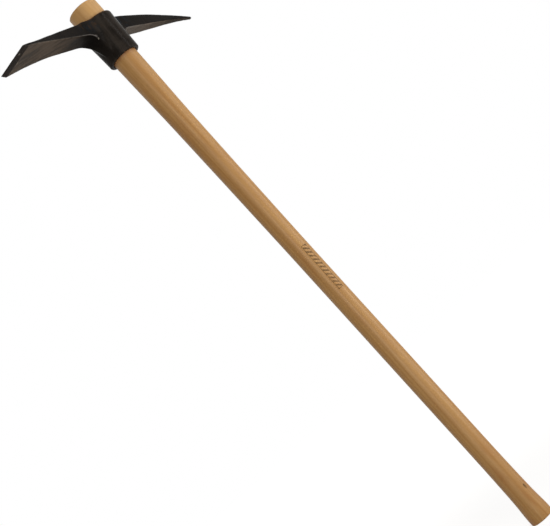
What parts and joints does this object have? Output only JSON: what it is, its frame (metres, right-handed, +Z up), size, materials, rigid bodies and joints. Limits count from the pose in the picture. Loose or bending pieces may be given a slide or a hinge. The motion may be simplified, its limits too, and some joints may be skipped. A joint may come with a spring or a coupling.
{
  "type": "pick axe",
  "caption": "Long-handled digging tool: a dark forged steel head with a pointed pick and a broad hoe blade, slipped over the thick end of a turned wooden handle.",
  "frame": {"origin": "centre of the handle's butt face", "axes": "+Z up the handle's axis to the head, +X along the pick, -X along the blade, +Y across the head"},
  "size_m": [0.5143, 0.068, 1.1],
  "materials": {
    "wood": "turned pale hardwood, satin clear coat",
    "steel": "hot-forged steel under a thin dark coat, satin, bare on the ground cutting edge"
  },
  "bodies": {
    "handle": {"handle": "wood"},
    "head": {"pick_head": "steel"}
  },
  "joints": [
    {"name": "head_slide", "type": "slide", "parent": "handle", "child": "head", "axis": [0, 0, 1], "range_m": [-0.9915, 0]}
  ]
}
